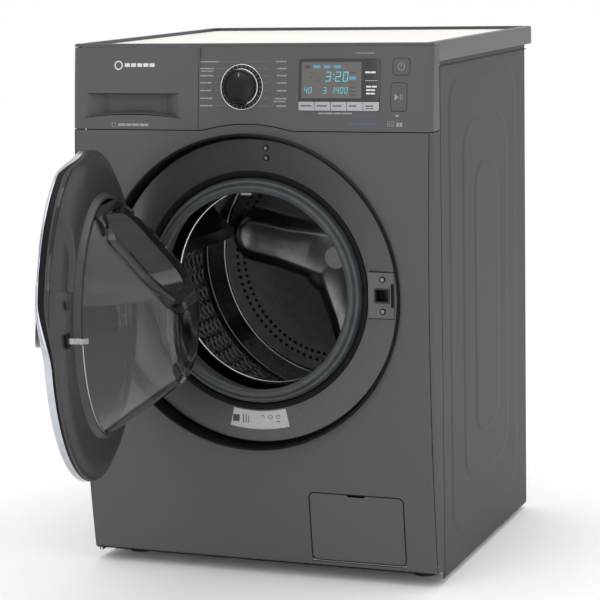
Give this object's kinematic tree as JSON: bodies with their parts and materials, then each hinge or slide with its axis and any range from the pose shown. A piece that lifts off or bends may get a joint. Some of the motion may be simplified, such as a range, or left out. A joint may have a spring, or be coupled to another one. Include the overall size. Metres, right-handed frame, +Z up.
{
  "type": "front load washing machine",
  "caption": "Front loading washing machine with an open porthole door that has a small add-item door, detergent drawer, dial, keys, sprung tub and belt-driven drum.",
  "frame": {"origin": "on the floor at the centre of the rectangle of the four feet", "axes": "+X to the right of a person facing the machine, +Y to the rear, +Z up; the drum turns about Y"},
  "size_m": [0.6026, 1.0855, 0.85],
  "materials": {
    "body_paint": "satin",
    "frame_plastic": "satin",
    "panel_plastic": "satin",
    "ring_plastic": "satin",
    "black_plastic": "satin",
    "gloss_black": "polished",
    "worktop_board": "satin",
    "silver_keys": "brushed",
    "chrome_trim": "polished",
    "smoked_glass": "polished",
    "bowl_glass": "polished",
    "seal_rubber": "matte",
    "foot_rubber": "matte",
    "belt_rubber": "matte",
    "galvanised": "satin",
    "stainless": "polished",
    "tub_plastic": "matte",
    "white_plastic": "satin",
    "tray_plastic": "satin",
    "concrete": "matte",
    "cast_aluminium": "cast",
    "zinc_steel": "satin",
    "circuit_green": "satin"
  },
  "bodies": {
    "root": {"right_side_panel": "body_paint", "left_side_panel": "body_paint", "rear_panel": "galvanised", "base_tray": "galvanised", "feet": "foot_rubber", "front_panel": "body_paint", "top_cover_frame": "frame_plastic", "top_cover_board": "worktop_board", "control_panel": "panel_plastic", "display_window": "gloss_black", "panel_circuit_board": "circuit_green", "drawer_housing": "tub_plastic", "door_ring": "ring_plastic", "latch_plate": "black_plastic", "ring_screws": "zinc_steel", "door_lock": "black_plastic", "hinge_bracket": "cast_aluminium", "gasket": "seal_rubber", "drain_pump": "black_plastic", "inlet_valve": "white_plastic", "drain_outlet": "black_plastic", "power_gland": "black_plastic", "spring_hangers": "galvanised", "suspension_springs": "zinc_steel", "damper_cylinders": "black_plastic"},
    "door": {"door_outer_cover": "smoked_glass", "door_chrome_trim": "chrome_trim", "door_inner_ring": "ring_plastic", "door_bowl": "bowl_glass", "bowl_passage_frame": "ring_plastic", "door_hinge_arm": "cast_aluminium"},
    "lock_hook": {"door_hook": "zinc_steel"},
    "small_door": {"add_door": "smoked_glass"},
    "drawer": {"drawer_front": "panel_plastic", "drawer_tray": "tray_plastic"},
    "dial": {"dial_knob": "panel_plastic"},
    "power_key": {"power_button": "panel_plastic"},
    "start_key": {"start_button": "panel_plastic"},
    "option_key_1": {"option_button_1": "silver_keys"},
    "option_key_2": {"option_button_2": "silver_keys"},
    "option_key_3": {"option_button_3": "silver_keys"},
    "option_key_4": {"option_button_4": "silver_keys"},
    "option_key_5": {"option_button_5": "silver_keys"},
    "service_flap": {"filter_cover": "panel_plastic"},
    "pump_filter": {"drain_filter": "white_plastic"},
    "tub": {"tub_front": "tub_plastic", "tub_rear": "tub_plastic", "bearings": "zinc_steel", "front_counterweight": "concrete", "upper_counterweight": "concrete", "motor": "galvanised", "drive_belt": "belt_rubber", "damper_rods": "zinc_steel"},
    "drum": {"drum_shell": "stainless", "drum_front": "stainless", "drum_back": "stainless", "drum_lifters": "stainless", "drum_spider": "cast_aluminium", "drum_pulley": "cast_aluminium"},
    "rotor": {"motor_pulley": "zinc_steel"}
  },
  "joints": [
    {"name": "door_hinge", "type": "hinge", "parent": "root", "child": "door", "pos_m": [-0.226, -0.311, 0.462], "axis": [0, 0, -1], "range_deg": [-78, 75], "deforming": ["gasket"]},
    {"name": "hook_swing", "type": "hinge", "parent": "door", "child": "lock_hook", "pos_m": [-0.11015, -0.7358, 0.463], "axis": [0, 0, 1], "range_deg": [-6, 0], "stiffness_Nm_per_rad": 0.2},
    {"name": "small_door_hinge", "type": "hinge", "parent": "door", "child": "small_door", "pos_m": [-0.20638, -0.52356, 0.568], "axis": [0, 0, -1], "range_deg": [0, 100]},
    {"name": "drawer_slide", "type": "slide", "parent": "root", "child": "drawer", "axis": [0, -1, 0], "range_m": [0, 0.17]},
    {"name": "dial_turn", "type": "hinge", "parent": "root", "child": "dial", "pos_m": [-0.0085, -0.26421, 0.783], "axis": [0, 0.9952, -0.0982], "continuous": true},
    {"name": "power_press", "type": "slide", "parent": "root", "child": "power_key", "axis": [0, 0.9952, -0.0982], "range_m": [0, 0.0015], "stiffness_N_per_m": 600},
    {"name": "start_press", "type": "slide", "parent": "root", "child": "start_key", "axis": [0, 0.9952, -0.0982], "range_m": [0, 0.0015], "stiffness_N_per_m": 600},
    {"name": "option_press_1", "type": "slide", "parent": "root", "child": "option_key_1", "axis": [0, 0.9952, -0.0982], "range_m": [0, 0.0015], "stiffness_N_per_m": 500},
    {"name": "option_press_2", "type": "slide", "parent": "root", "child": "option_key_2", "axis": [0, 0.9952, -0.0982], "range_m": [0, 0.0015], "stiffness_N_per_m": 500},
    {"name": "option_press_3", "type": "slide", "parent": "root", "child": "option_key_3", "axis": [0, 0.9952, -0.0982], "range_m": [0, 0.0015], "stiffness_N_per_m": 500},
    {"name": "option_press_4", "type": "slide", "parent": "root", "child": "option_key_4", "axis": [0, 0.9952, -0.0982], "range_m": [0, 0.0015], "stiffness_N_per_m": 500},
    {"name": "option_press_5", "type": "slide", "parent": "root", "child": "option_key_5", "axis": [0, 0.9952, -0.0982], "range_m": [0, 0.0015], "stiffness_N_per_m": 500},
    {"name": "flap_hinge", "type": "hinge", "parent": "root", "child": "service_flap", "pos_m": [0.1665, -0.2486, 0.0335], "axis": [1, 0, 0], "range_deg": [0, 80]},
    {"name": "filter_turn", "type": "hinge", "parent": "root", "child": "pump_filter", "pos_m": [0.167, -0.24, 0.086], "axis": [0, -1, 0], "range_deg": [0, 90]},
    {"name": "tub_bounce", "type": "slide", "parent": "root", "child": "tub", "axis": [0, 0, 1], "range_m": [-0.01, 0.01], "stiffness_N_per_m": 16000, "springref_m": 0.02377, "deforming": ["gasket", "suspension_springs"]},
    {"name": "drum_spin", "type": "hinge", "parent": "tub", "child": "drum", "pos_m": [0, 0.175, 0.462], "axis": [0, 1, 0], "continuous": true},
    {"name": "rotor_spin", "type": "hinge", "parent": "tub", "child": "rotor", "pos_m": [0, 0.175, 0.128], "axis": [0, 1, 0], "continuous": true}
  ],
  "couplings": [
    {"joint": "rotor_spin", "follows": "drum_spin", "ratio": 11.667}
  ]
}
